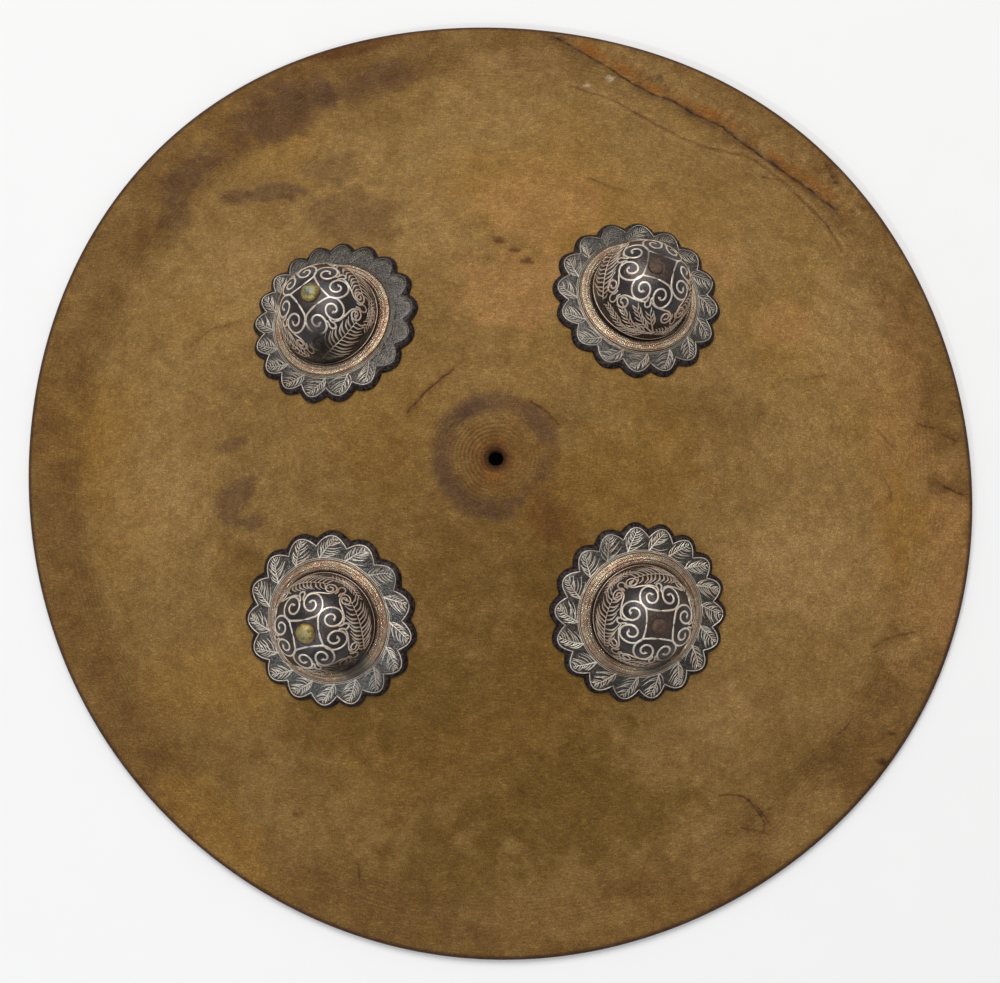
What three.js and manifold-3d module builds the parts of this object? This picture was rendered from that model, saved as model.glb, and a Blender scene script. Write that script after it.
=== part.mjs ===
// A dhal: a round shield of one thick moulded hide, with four iron bosses riveted through it
// round the crown. Millimetres, +Z out of the face. It lies on its rim, whose flat is at z = 0.
import * as THREE from "three";
import { mergeVertices } from "three/addons/utils/BufferGeometryUtils.js";
import Module from "manifold-3d";

const wasm = await Module();
wasm.setup();

// Hide disc
const SHIELD_DIAMETER = 450;
const SHIELD_HEIGHT = 71; // floor to crown
const HIDE_THICKNESS = 6;
const RIM_THICKNESS = 5;
const RIM_LAND = 7; // width of the flat under the rim, where the shield rests
const BAND_WIDTH = 24; // the flatter band along the rim
const BAND_SLOPE = THREE.MathUtils.degToRad(7);
const BAND_BLEND = 9; // how far the dish eases into the band, to each side
const CROWN_REACH = 80; // how far from the axis the crown keeps turning over
const CROWN_HOLE = 6.6; // the open hole on the axis

// The rim was cut by eye: each entry swells it in so many places, the first of them at a bearing.
const OUT_OF_ROUND = [
  { places: 2, swell: 3.0, bearing: 140 },
  { places: 3, swell: 1.2, bearing: 20 },
  { places: 4, swell: 1.1, bearing: 49 },
  { places: 5, swell: 0.7, bearing: -18 },
];

// Bosses
const FLANGE_THICKNESS = 2.4;
const BEVEL_WIDTH = 1.8; // the sloped border of the scallops
const BEVEL_DROP = 1.5;
const SCALLOP_DEPTH = 3.2;
const BEAD_DIAMETER = 50.6; // middle of the raised ring round the dome
const BEAD_WIDTH = 5.0;
const BEAD_HEIGHT = 1.9;
const DOME_DIAMETER = 45;
const DOME_HEIGHT = 30.5; // hide to apex
const DOME_WALL = 1.8;
const DOME_FULLNESS = 2.6; // 2 is an ellipse, and more is squarer at the shoulder
const SEAT_GAP = 0.3; // between the hide and what is riveted to it

// Rivets
const SHANK_DIAMETER = 4.4;
const SHANK_CLEARANCE = 0.3;
const BRASS_HEAD_DIAMETER = 9;
const BRASS_HEAD_HEIGHT = 2.4;
const IRON_HEAD_DIAMETER = 7;
const IRON_HEAD_HEIGHT = 0.9;
const TAIL_DIAMETER = 9.5;
const TAIL_HEIGHT = 2.2;

// Each boss's place, its size over the scallops, and how its scallops were set out: their number,
// the bearing of the first, and how far and which way they drift from even spacing.
const BOSSES = [
  {
    name: "upper_left", bearing: 138.3, distance: 99.8, across: 80, brass: true,
    scallops: 18, first: 2, drift: 6.5, toward: 45,
  },
  {
    name: "upper_right", bearing: 49.9, distance: 100.3, across: 79.5, brass: false,
    scallops: 16, first: 18, drift: 0, toward: 0,
  },
  {
    name: "lower_left", bearing: -136.8, distance: 103.1, across: 82, brass: true,
    scallops: 16, first: 17, drift: 5.2, toward: 165,
  },
  {
    name: "lower_right", bearing: -46.6, distance: 93.2, across: 82.5, brass: false,
    scallops: 18, first: -2, drift: 3.3, toward: 285,
  },
];

const HIDE_SEGMENTS = 52;
const DOME_SEGMENTS = 24;
const POINTS_PER_SCALLOP = 4;
const RIVET_SEGMENTS = 10;
const FACE_STEPS = 450;

const radians = THREE.MathUtils.degToRad;
const rimRadius = SHIELD_DIAMETER / 2;

// The face falls away from the crown ever more steeply, then eases into the flatter rim band.
// Its height is summed from the rim inwards, and the dish is as steep as the shield is high.
function bandShare(r) {
  return THREE.MathUtils.smoothstep(r, rimRadius - BAND_WIDTH - BAND_BLEND, rimRadius - BAND_WIDTH + BAND_BLEND);
}

function dishFall(r) {
  return Math.tanh(r / CROWN_REACH) * (1 - bandShare(r));
}

function bandFall(r) {
  return Math.tan(BAND_SLOPE) * bandShare(r);
}

function sumFromRim(fall) {
  const step = rimRadius / FACE_STEPS;
  const heights = new Array(FACE_STEPS + 1).fill(0);
  for (let i = FACE_STEPS - 1; i >= 0; i--) {
    heights[i] = heights[i + 1] + fall((i + 0.5) * step) * step;
  }
  return heights;
}

const dishHeights = sumFromRim(dishFall);
const bandHeights = sumFromRim(bandFall);
const dishSteepness = (SHIELD_HEIGHT - RIM_THICKNESS - bandHeights[0]) / dishHeights[0];

function faceHeight(r) {
  const at = THREE.MathUtils.clamp(r / rimRadius, 0, 1) * FACE_STEPS;
  const i = Math.min(Math.floor(at), FACE_STEPS - 1);
  const dish = THREE.MathUtils.lerp(dishHeights[i], dishHeights[i + 1], at - i);
  const band = THREE.MathUtils.lerp(bandHeights[i], bandHeights[i + 1], at - i);
  return RIM_THICKNESS + dishSteepness * dish + band;
}

function faceAngle(r) {
  return Math.atan(dishSteepness * dishFall(r) + bandFall(r));
}

// Moves every corner of a geometry by a function of its place.
function reshape(geometry, move) {
  const places = geometry.getAttribute("position");
  const point = new THREE.Vector3();
  for (let i = 0; i < places.count; i++) {
    point.fromBufferAttribute(places, i);
    move(point);
    places.setXYZ(i, point.x, point.y, point.z);
  }
  return geometry;
}

// A body turned about +Z, from a profile of distances from the axis and heights.
function turned(profile, segments) {
  const points = profile.map(([r, z]) => new THREE.Vector2(r, z));
  return new THREE.LatheGeometry(points, segments).rotateX(Math.PI / 2);
}

function solidOf(geometry) {
  const bare = geometry.clone();
  bare.deleteAttribute("normal");
  bare.deleteAttribute("uv");
  const merged = mergeVertices(bare, 1e-4);
  return new wasm.Manifold(
    new wasm.Mesh({
      numProp: 3,
      vertProperties: merged.attributes.position.array,
      triVerts: new Uint32Array(merged.index.array),
    }),
  );
}

function meshOf(name, solid, material) {
  const { vertProperties, triVerts } = solid.getMesh();
  const geometry = new THREE.BufferGeometry();
  geometry.setAttribute("position", new THREE.BufferAttribute(vertProperties, 3));
  geometry.setIndex(new THREE.BufferAttribute(triVerts, 1));
  geometry.computeVertexNormals();
  const mesh = new THREE.Mesh(geometry, material);
  mesh.name = name;
  return mesh;
}

// Where a boss stands: its own frame has +Z out of the hide and +X down the slope.
function seatOf(boss) {
  const turn = new THREE.Matrix4().makeRotationZ(radians(boss.bearing));
  const place = new THREE.Matrix4().makeTranslation(boss.distance, 0, faceHeight(boss.distance));
  const lean = new THREE.Matrix4().makeRotationY(faceAngle(boss.distance));
  return turn.multiply(place).multiply(lean);
}

// How far the face lies above the flat of a boss's seat, at a point of that flat.
function faceOverSeat(boss, x, y) {
  const lean = faceAngle(boss.distance);
  const seatHeight = faceHeight(boss.distance);
  let rise = 0;
  for (let i = 0; i < 6; i++) {
    const out = boss.distance + x * Math.cos(lean) + rise * Math.sin(lean);
    const height = seatHeight - x * Math.sin(lean) + rise * Math.cos(lean);
    rise -= (height - faceHeight(Math.hypot(out, y))) * Math.cos(lean);
  }
  return rise;
}

function laidOnFace(geometry, boss) {
  return reshape(geometry, (point) => {
    point.z += faceOverSeat(boss, point.x, point.y) + SEAT_GAP;
  });
}

// Hide disc: a turned skin of even thickness, thinner and flat-bottomed at the rim, with a
// rounded edge. Its outline is then let out and in, less and less towards the crown.
function hideDisc() {
  const edge = RIM_THICKNESS / 2;
  const holeRadius = CROWN_HOLE / 2;
  const bandStart = rimRadius - BAND_WIDTH - BAND_BLEND;
  const dishStations = 8;
  const bandStations = 4;
  const underStations = 7;
  const edgePoints = 4;
  const profile = [];
  for (let i = 0; i < dishStations; i++) {
    const r = THREE.MathUtils.lerp(holeRadius, bandStart, i / dishStations);
    profile.push([r, faceHeight(r)]);
  }
  for (let i = 0; i < bandStations; i++) {
    const r = THREE.MathUtils.lerp(bandStart, rimRadius - edge, i / bandStations);
    profile.push([r, faceHeight(r)]);
  }
  for (let i = 0; i <= edgePoints; i++) {
    const turn = Math.PI / 2 - (Math.PI * i) / edgePoints;
    profile.push([rimRadius - edge + edge * Math.cos(turn), edge + edge * Math.sin(turn)]);
  }
  const landStart = rimRadius - edge - RIM_LAND;
  profile.push([landStart, 0]);
  for (let i = 0; i < underStations; i++) {
    const r = THREE.MathUtils.lerp(landStart - RIM_LAND, holeRadius, i / underStations);
    const thickness = THREE.MathUtils.lerp(HIDE_THICKNESS, RIM_THICKNESS, bandShare(r));
    const lean = faceAngle(r);
    profile.push([r - thickness * Math.sin(lean), faceHeight(r) - thickness * Math.cos(lean)]);
  }
  profile.push([holeRadius, faceHeight(holeRadius) - HIDE_THICKNESS]);
  profile.push(profile[0]);
  profile.reverse();
  const geometry = reshape(turned(profile, HIDE_SEGMENTS), (point) => {
    const bearing = Math.atan2(point.y, point.x);
    const share = (Math.hypot(point.x, point.y) / rimRadius) ** 4;
    let swell = 0;
    for (const entry of OUT_OF_ROUND) {
      swell += entry.swell * Math.cos(entry.places * (bearing - radians(entry.bearing)));
    }
    const scale = 1 + (swell * share) / rimRadius;
    point.x *= scale;
    point.y *= scale;
  });
  let solid = solidOf(geometry);
  for (const boss of BOSSES) {
    solid = solid.subtract(solidOf(rivetBore().applyMatrix4(seatOf(boss))));
  }
  return solid;
}

// The bore that a rivet's shank passes through, in the hide and in the top of the dome.
function rivetBore() {
  const length = 2 * (DOME_HEIGHT + HIDE_THICKNESS);
  const radius = SHANK_DIAMETER / 2 + SHANK_CLEARANCE;
  return new THREE.CylinderGeometry(radius, radius, length, RIVET_SEGMENTS).rotateX(Math.PI / 2);
}

// Flange: a flat ring with a scalloped, bevelled border, which runs in under the bead.
function flange(boss) {
  const tip = boss.across / 2;
  const inner = BEAD_DIAMETER / 2;
  const profile = [
    [inner, FLANGE_THICKNESS],
    [inner, 0],
    [tip, 0],
    [tip, FLANGE_THICKNESS - BEVEL_DROP],
    [tip - BEVEL_WIDTH, FLANGE_THICKNESS],
    [inner, FLANGE_THICKNESS],
  ];
  const ownFirst = boss.first - boss.bearing;
  const ownToward = boss.toward - boss.bearing;
  const geometry = turned(profile, boss.scallops * POINTS_PER_SCALLOP);
  return reshape(geometry, (point) => {
    const even = Math.atan2(point.y, point.x) + Math.PI / 2;
    const onBorder = Math.hypot(point.x, point.y) > (inner + tip) / 2;
    const notch = 1 - Math.abs(Math.cos((boss.scallops * even) / 2));
    const radius = Math.hypot(point.x, point.y) - (onBorder ? SCALLOP_DEPTH * notch : 0);
    const turn = even + radians(ownFirst) + radians(boss.drift) * Math.cos(even + radians(ownFirst - ownToward));
    point.x = radius * Math.cos(turn);
    point.y = radius * Math.sin(turn);
  });
}

// A point of a full-shouldered dome's profile, from its foot at turn 0 to its top.
function domePoint(footRadius, footHeight, topHeight, turn) {
  const across = footRadius * Math.cos(turn) ** (2 / DOME_FULLNESS);
  const height = footHeight + (topHeight - footHeight) * Math.sin(turn) ** (2 / DOME_FULLNESS);
  return [across, height];
}

// Dome: hollow, a little taller than half its width is, in a raised bead.
function dome() {
  const outer = DOME_DIAMETER / 2;
  const bore = SHANK_DIAMETER / 2 + SHANK_CLEARANCE;
  const beadMiddle = BEAD_DIAMETER / 2;
  const domePoints = 6;
  const beadPoints = 4;
  const innerPoints = 3;
  const skirt = FLANGE_THICKNESS / 3;
  const profile = [[bore, DOME_HEIGHT]];
  for (let i = 1; i <= domePoints; i++) {
    const turn = (Math.PI / 2) * (1 - i / domePoints);
    profile.push(domePoint(outer, FLANGE_THICKNESS, DOME_HEIGHT, turn));
  }
  for (let i = 0; i <= beadPoints; i++) {
    const turn = Math.PI * (1 - i / beadPoints);
    const height = FLANGE_THICKNESS + BEAD_HEIGHT * Math.sin(turn);
    profile.push([beadMiddle + (BEAD_WIDTH / 2) * Math.cos(turn), height]);
  }
  profile.push([beadMiddle + BEAD_WIDTH / 2, skirt]);
  for (let i = 0; i <= innerPoints; i++) {
    const turn = ((Math.PI / 2) * i) / innerPoints;
    const [across, height] = domePoint(outer - DOME_WALL, skirt, DOME_HEIGHT - DOME_WALL, turn);
    profile.push([Math.max(across, bore), height]);
  }
  profile.push([bore, DOME_HEIGHT]);
  profile.reverse();
  return turned(profile, DOME_SEGMENTS);
}

function bossSolid(boss) {
  return solidOf(laidOnFace(flange(boss), boss)).add(solidOf(laidOnFace(dome(), boss)));
}

// Rivet: a head on the dome's apex, a shank down through dome and hide, and a tail behind.
function rivet(boss) {
  const headRadius = (boss.brass ? BRASS_HEAD_DIAMETER : IRON_HEAD_DIAMETER) / 2;
  const headHeight = boss.brass ? BRASS_HEAD_HEIGHT : IRON_HEAD_HEIGHT;
  const headFoot = DOME_HEIGHT + 2 * SEAT_GAP;
  const tailTop = -HIDE_THICKNESS - SEAT_GAP;
  const tailRadius = TAIL_DIAMETER / 2;
  const shank = SHANK_DIAMETER / 2;
  const profile = [
    [0, tailTop - TAIL_HEIGHT],
    [tailRadius * 0.6, tailTop - TAIL_HEIGHT],
    [tailRadius, tailTop - TAIL_HEIGHT / 3],
    [tailRadius, tailTop],
    [shank, tailTop],
    [shank, headFoot],
    [headRadius, headFoot],
    [headRadius * 0.94, headFoot + headHeight / 2],
    [headRadius * 0.64, headFoot + headHeight * 0.88],
    [0, headFoot + headHeight],
  ];
  return turned(profile, RIVET_SEGMENTS);
}

const hide = new THREE.MeshStandardMaterial({ color: 0x83652f, roughness: 0.7, metalness: 0 });
const inlaidIron = new THREE.MeshStandardMaterial({ color: 0x4a4040, roughness: 0.4, metalness: 0.8 });
const brass = new THREE.MeshStandardMaterial({ color: 0xa0884a, roughness: 0.4, metalness: 0.9 });
const rustyIron = new THREE.MeshStandardMaterial({ color: 0x5e4030, roughness: 0.7, metalness: 0.5 });

const shield = new THREE.Group();
shield.add(meshOf("hide_disc", hideDisc(), hide));
for (const boss of BOSSES) {
  const seat = new THREE.Group();
  seat.applyMatrix4(seatOf(boss));
  seat.add(meshOf("boss_" + boss.name, bossSolid(boss), inlaidIron));
  seat.add(meshOf("rivet_" + boss.name, solidOf(rivet(boss)), boss.brass ? brass : rustyIron));
  shield.add(seat);
}

export default shield;
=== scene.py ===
"""A dhal: a round shield of moulded hide with four silver-inlaid iron bosses, lying on its rim."""
import math
import random

import bmesh
import bpy
import numpy as np
from mathutils import Matrix, Vector, noise


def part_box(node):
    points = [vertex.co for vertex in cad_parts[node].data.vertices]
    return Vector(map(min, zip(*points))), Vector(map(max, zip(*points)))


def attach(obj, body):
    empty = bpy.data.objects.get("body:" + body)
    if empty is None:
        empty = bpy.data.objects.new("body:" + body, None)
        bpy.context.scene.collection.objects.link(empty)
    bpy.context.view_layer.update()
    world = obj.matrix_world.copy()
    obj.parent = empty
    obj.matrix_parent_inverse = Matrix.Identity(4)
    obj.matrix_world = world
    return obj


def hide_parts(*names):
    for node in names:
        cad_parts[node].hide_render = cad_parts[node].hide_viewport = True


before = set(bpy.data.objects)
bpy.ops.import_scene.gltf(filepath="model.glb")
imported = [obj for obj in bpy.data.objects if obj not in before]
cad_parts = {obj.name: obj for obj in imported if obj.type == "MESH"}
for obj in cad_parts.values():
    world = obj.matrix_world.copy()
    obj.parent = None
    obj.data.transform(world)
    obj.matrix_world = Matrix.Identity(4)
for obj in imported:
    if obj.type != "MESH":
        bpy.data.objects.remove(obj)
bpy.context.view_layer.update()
scene = bpy.context.scene

# Camera. It looks down on the shield's face from about a metre above, and stands a little
# towards the lower bosses. Its right side keeps level with the shield's own.
MM = 0.001
PICTURE_WIDTH = 1000
PICTURE_HEIGHT = 983
CAMERA_PLACE = Vector((11.24, -125.23, 984.5))
CAMERA_AIM = Vector((1.10, -6.63, 2.5))
LENS = 74.84
SENSOR = 36.0

camera_back = (CAMERA_PLACE - CAMERA_AIM).normalized()
camera_right = Vector((0, 1, 0)).cross(camera_back).normalized()
camera_up = camera_back.cross(camera_right)
camera_data = bpy.data.cameras.new("camera")
camera_data.lens = LENS
camera_data.sensor_width = SENSOR
camera_data.clip_start = 0.01
camera = bpy.data.objects.new("camera", camera_data)
camera_turn = Matrix((camera_right, camera_up, camera_back)).transposed().to_4x4()
camera.matrix_world = Matrix.Translation(CAMERA_PLACE * MM) @ camera_turn
scene.collection.objects.link(camera)
scene.camera = camera
scene.view_settings.view_transform = "Standard"


# Hide disc. One thick piece of hide, wetted, beaten into a dish over a form, dried hard and
# turned smooth, then trimmed by eye. Its rim is a flatter band, and its edge is rounded.
SHIELD_RADIUS = 225.0
SHIELD_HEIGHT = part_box("hide_disc")[1][2] / MM
HIDE_THICKNESS = 6.0
RIM_THICKNESS = 5.0
RIM_LAND = 7.0
BAND_WIDTH = 24.0
BAND_SLOPE = math.radians(7)
BAND_BLEND = 9.0
CROWN_REACH = 80.0
CROWN_HOLE = 6.6
OUT_OF_ROUND = [(2, 3.0, 140), (3, 1.2, 20), (4, 1.1, 49), (5, 0.7, -18)]
HOLE_RING = 8
RIM_RING = 128
FACE_STEPS = 450
SIGHT_STEPS = 25
CRACK_REFINING = (1.6, 0.9)
RING_STAIN_RADIUS = 24.4
RING_STAIN_RISE = 1.5
RING_STAIN_WIDTH = 4.0

# Sets of rings under the hide, as (outermost radius, innermost radius, number of rings). Each set
# has half as many points round as the one outside it.
UNDERSIDE_RINGS = [(208, 110, 14), (103, 52, 10), (47, 24, 6), (20, 3.3, 5)]


def band_share(r):
    start = SHIELD_RADIUS - BAND_WIDTH - BAND_BLEND
    share = np.clip((r - start) / (2 * BAND_BLEND), 0, 1)
    return share * share * (3 - 2 * share)


def dish_fall(r):
    return np.tanh(r / CROWN_REACH) * (1 - band_share(r))


def band_fall(r):
    return math.tan(BAND_SLOPE) * band_share(r)


def summed_from_rim(fall):
    step = SHIELD_RADIUS / FACE_STEPS
    middles = (np.arange(FACE_STEPS) + 0.5) * step
    return np.append(np.cumsum((fall(middles) * step)[::-1])[::-1], 0)


stations = np.linspace(0, SHIELD_RADIUS, FACE_STEPS + 1)
band_heights = summed_from_rim(band_fall)
dish_heights = summed_from_rim(dish_fall)
dish_steepness = (SHIELD_HEIGHT - RIM_THICKNESS - band_heights[0]) / dish_heights[0]
face_heights = RIM_THICKNESS + dish_steepness * dish_heights + band_heights


def face_height(r):
    return np.interp(r, stations, face_heights)


def face_angle(r):
    return np.arctan(dish_steepness * dish_fall(r) + band_fall(r))


def outline_scale(r, bearing):
    swell = 0
    for places, size, first in OUT_OF_ROUND:
        swell = swell + size * np.cos(places * (bearing - math.radians(first)))
    return 1 + swell * (r / SHIELD_RADIUS) ** 4 / SHIELD_RADIUS


def turned_radius(x, y):
    """The radius before the outline was let out and in."""
    r = np.hypot(x, y)
    bearing = np.arctan2(y, x)
    return r / outline_scale(r / outline_scale(r, bearing), bearing)


def on_face(px, py):
    """The place on the face that shows at a pixel of the photograph, in millimetres."""
    focal = LENS / SENSOR * PICTURE_WIDTH
    across = (px - PICTURE_WIDTH / 2) / focal
    down = (py - PICTURE_HEIGHT / 2) / focal
    ray = camera_right * across - camera_up * down - camera_back
    height = SHIELD_HEIGHT / 2
    for _ in range(SIGHT_STEPS):
        point = CAMERA_PLACE + ray * ((height - CAMERA_PLACE.z) / ray.z)
        height = float(face_height(math.hypot(point.x, point.y)))
    return np.array((point.x, point.y))


# Marks of the hide, each by the pixels of the photograph where it shows: cracks and scratches
# as (points, width and depth in millimetres, darkness). The darkness is partly the hide's own and
# partly painted shade in the cut.
CRACKS = [
    ([(407, 413), (424, 393), (453, 369)], 0.7, 0.30, 1.3),
    ([(191, 346), (212, 330), (239, 322)], 0.6, 0.25, 0.6),
    ([(590, 179), (609, 186), (631, 193)], 1.1, 0.30, 0.5),
    ([(785, 380), (805, 379), (826, 375)], 0.6, 0.20, 0.5),
    ([(918, 424), (933, 429)], 0.8, 0.30, 0.8),
    ([(941, 434), (956, 441)], 0.8, 0.30, 0.8),
    ([(938, 482), (951, 490), (964, 495)], 0.9, 0.35, 0.9),
    ([(879, 431), (885, 439), (892, 447)], 0.6, 0.25, 0.6),
    ([(884, 477), (889, 490), (892, 500)], 0.6, 0.25, 0.6),
    ([(873, 647), (892, 638), (914, 632)], 0.9, 0.40, 0.6),
    ([(837, 736), (843, 730), (848, 723)], 0.8, 0.35, 0.8),
    ([(720, 795), (737, 795), (748, 800), (761, 812), (771, 825)], 0.9, 0.45, 0.75),
    ([(748, 800), (762, 818), (764, 832)], 0.8, 0.40, 0.75),
    ([(741, 829), (755, 830), (768, 834)], 0.7, 0.35, 0.6),
    ([(761, 812), (775, 808)], 0.7, 0.30, 0.5),
    ([(359, 865), (359, 882)], 0.6, 0.25, 0.6),
    ([(649, 852), (640, 878)], 0.6, 0.20, 0.5),
    ([(762, 177), (771, 178), (779, 180)], 0.8, 0.30, 0.7),
    ([(828, 165), (834, 173), (836, 182), (834, 192)], 2.2, 0.5, 1.4),
    ([(522, 482), (530, 492), (539, 502)], 0.7, 0.15, 0.2),
    ([(835, 203), (845, 209), (856, 212), (868, 210)], 1.0, 0.35, 0.6),
    ([(531, 402), (546, 411), (558, 424)], 0.9, 0.25, 0.9),
    ([(418, 437), (414, 462), (420, 492)], 0.6, 0.12, 0.25),
]
LONG_CREASE = [
    (554, 36), (610, 68), (641, 88), (675, 102), (694, 114), (719, 124), (738, 139), (772, 163),
    (806, 187), (835, 209),
]
SECOND_CREASE = [
    (568, 85), (617, 102), (665, 129), (709, 148), (750, 158), (786, 185), (823, 221), (842, 250),
]


def curved(points, steps):
    """A smooth line through a few points."""
    points = np.asarray(points, dtype=float)
    padded = np.concatenate([[2 * points[0] - points[1]], points, [2 * points[-1] - points[-2]]])
    line = []
    for i in range(1, len(padded) - 2):
        p0, p1, p2, p3 = padded[i - 1:i + 3]
        for t in np.arange(steps) / steps:
            squared = (2 * p0 - 5 * p1 + 4 * p2 - p3) * t * t
            cubed = (3 * p1 - p0 - 3 * p2 + p3) * t ** 3
            line.append(0.5 * (2 * p1 + (p2 - p0) * t + squared + cubed))
    line.append(points[-1])
    return np.array(line)


def along(pixels, seed):
    """The smooth, slightly wavering line on the face through pixels of the photograph."""
    line = curved([on_face(*pixel) for pixel in pixels], 6)
    line[:, 0] += 0.7 * uneven(line[:, 0], line[:, 1], 5.0, seed)
    line[:, 1] += 0.7 * uneven(line[:, 0], line[:, 1], 5.0, seed + 50)
    return line


def distance_to(line, x, y):
    """Distance of many points from a line of points, and which side of it they are on."""
    best = np.full(len(x), 1e9)
    side = np.zeros(len(x))
    for (ax, ay), (bx, by) in zip(line[:-1], line[1:]):
        dx, dy = bx - ax, by - ay
        share = np.clip(((x - ax) * dx + (y - ay) * dy) / (dx * dx + dy * dy), 0, 1)
        away = np.hypot(x - ax - share * dx, y - ay - share * dy)
        nearer = away < best
        best = np.where(nearer, away, best)
        side = np.where(nearer, np.sign(dx * (y - ay) - dy * (x - ax)), side)
    return best, side


def uneven(x, y, size, seed, depth=3):
    """Cloudy variation over the hide, about -1 to 1, with clouds of a size in millimetres."""
    places = [Vector((a / size, b / size, seed)) for a, b in zip(x, y)]
    return np.array([noise.fractal(place, 1.0, 2.0, depth) for place in places])


cracks = [(along(crack[0], seed), *crack[1:]) for seed, crack in enumerate(CRACKS)]
long_crease = along(LONG_CREASE, 31)
second_crease = along(SECOND_CREASE, 33)


def shaped_ring(r, count):
    """A ring of points round the axis, let out and in as the outline is."""
    bearings = 2 * np.pi * np.arange(count) / count
    reach = r * outline_scale(r, bearings)
    return np.column_stack([reach * np.cos(bearings), reach * np.sin(bearings)])


def face_grid():
    """Rings of 8 more points each than the last, so that the spaces between points stay even."""
    points = []
    first = {}
    for ring in range(HOLE_RING, RIM_RING + 1):
        share = (ring - HOLE_RING) / (RIM_RING - HOLE_RING)
        r = CROWN_HOLE / 2 + (SHIELD_RADIUS - RIM_THICKNESS / 2 - CROWN_HOLE / 2) * share
        first[ring] = sum(len(part) for part in points)
        points.append(shaped_ring(r, 8 * ring))
    faces = []
    for ring in range(HOLE_RING, RIM_RING):
        inner, outer = first[ring], first[ring + 1]
        inner_count, outer_count = 8 * ring, 8 * (ring + 1)
        for side in range(4):
            inner_corner = side * 2 * ring
            outer_corner = side * 2 * (ring + 1)
            faces.append((
                inner + inner_corner,
                outer + (outer_corner - 1) % outer_count,
                outer + outer_corner,
                outer + outer_corner + 1,
            ))
            for step in range(2 * ring):
                faces.append((
                    inner + inner_corner + step,
                    outer + outer_corner + step + 1,
                    outer + (outer_corner + step + 2) % outer_count,
                    inner + (inner_corner + step + 1) % inner_count,
                ))
    return np.concatenate(points), faces, first[RIM_RING]


def refined_near_cracks(points, faces):
    """Splits the grid where a crack or crease runs, so that it is cut into the hide."""
    mesh = bpy.data.meshes.new("face_grid")
    mesh.from_pydata([(x, y, 0) for x, y in points], [], faces)
    grid = bmesh.new()
    grid.from_mesh(mesh)
    lines = [crack[0] for crack in cracks] + [long_crease, second_crease]
    for reach in CRACK_REFINING:
        places = np.array([vertex.co[:2] for vertex in grid.verts])
        nearest = np.full(len(places), 1e9)
        for line in lines:
            nearest = np.minimum(nearest, distance_to(line, places[:, 0], places[:, 1])[0])
        at_rim = turned_radius(places[:, 0], places[:, 1]) > SHIELD_RADIUS - RIM_THICKNESS / 2 - 0.4
        nearest[at_rim] = 1e9
        grid.verts.ensure_lookup_table()
        close = [edge for edge in grid.edges if max(nearest[v.index] for v in edge.verts) < reach + 1]
        bmesh.ops.subdivide_edges(grid, edges=close, cuts=1, use_grid_fill=True)
        grid.verts.index_update()
    places = np.array([vertex.co[:2] for vertex in grid.verts])
    corners = [[vertex.index for vertex in face.verts] for face in grid.faces]
    grid.free()
    bpy.data.meshes.remove(mesh)
    return places, corners


def near(distance, reach):
    """One where the distance is nothing, fading out past the reach."""
    return np.exp(-(distance / reach) ** 2)


def within(distance, reach):
    """One all the way to near the reach, and soon nothing past it."""
    return np.exp(-(distance / reach) ** 4)


def face_relief(x, y):
    """How far the hide stands proud of its even form, in millimetres."""
    r = np.hypot(x, y)
    relief = 0.35 * uneven(x, y, 70, 1.5) + 0.10 * uneven(x, y, 8, 7.5, 4)
    relief -= 1.2 * near(r - CROWN_HOLE / 2, 2.4)
    broken = 0.75 + 0.5 * uneven(x, y, 4, 13.0)
    for line, width, depth, _ in cracks:
        away, _ = distance_to(line, x, y)
        relief -= depth * broken * near(away, 0.5 * width)
        relief += 0.25 * depth * near(away - 1.1 * width, width)
    away, side = distance_to(long_crease, x, y)
    torn = 0.6 + 0.5 * uneven(x, y, 9, 5.0)
    outside = np.where(side < 0, 0, 1)
    relief -= 0.6 * torn * near(away, 0.8)
    relief -= 0.5 * outside * near(away, 7) * torn
    relief += 0.22 * outside * within(away, 16) * uneven(x, y, 5, 41.0, 4)
    away, _ = distance_to(second_crease, x, y)
    relief -= 0.22 * broken * near(away, 0.9)
    relief += 0.15 * near(away - 2.5, 1.8)
    return relief


# Colours of the hide, as light as they are under even light. Where they are laid on, light is
# painted in too: the hide is made lighter towards the top and right.
PALE_OCHRE = (0.302, 0.181, 0.063)
PALE_TAN = (0.375, 0.225, 0.090)
TAN = (0.375, 0.200, 0.072)
OCHRE = (0.150, 0.080, 0.0165)
ORANGE_OCHRE = (0.285, 0.150, 0.030)
RIM_BROWN = (0.150, 0.076, 0.022)
VIOLET_BROWN = (0.092, 0.047, 0.026)
RED_BROWN = (0.105, 0.036, 0.010)
RUST_ORANGE = (0.260, 0.100, 0.018)
CRACK_BROWN = (0.040, 0.016, 0.007)
WHITE_SPECK = (0.500, 0.420, 0.300)
EDGE_BROWN = (0.075, 0.034, 0.018)

# Tints that the finish lays over those colours.
MOTTLE_TINT = (0.80, 0.76, 0.72)
FLECK_TINT = (1.26, 1.24, 1.18)
GRAIN_TINT = (0.58, 0.54, 0.47)
FIBRE_TINT = (1.40, 1.39, 1.28)
TURNING_TINT = (0.50, 0.42, 0.36)

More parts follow.
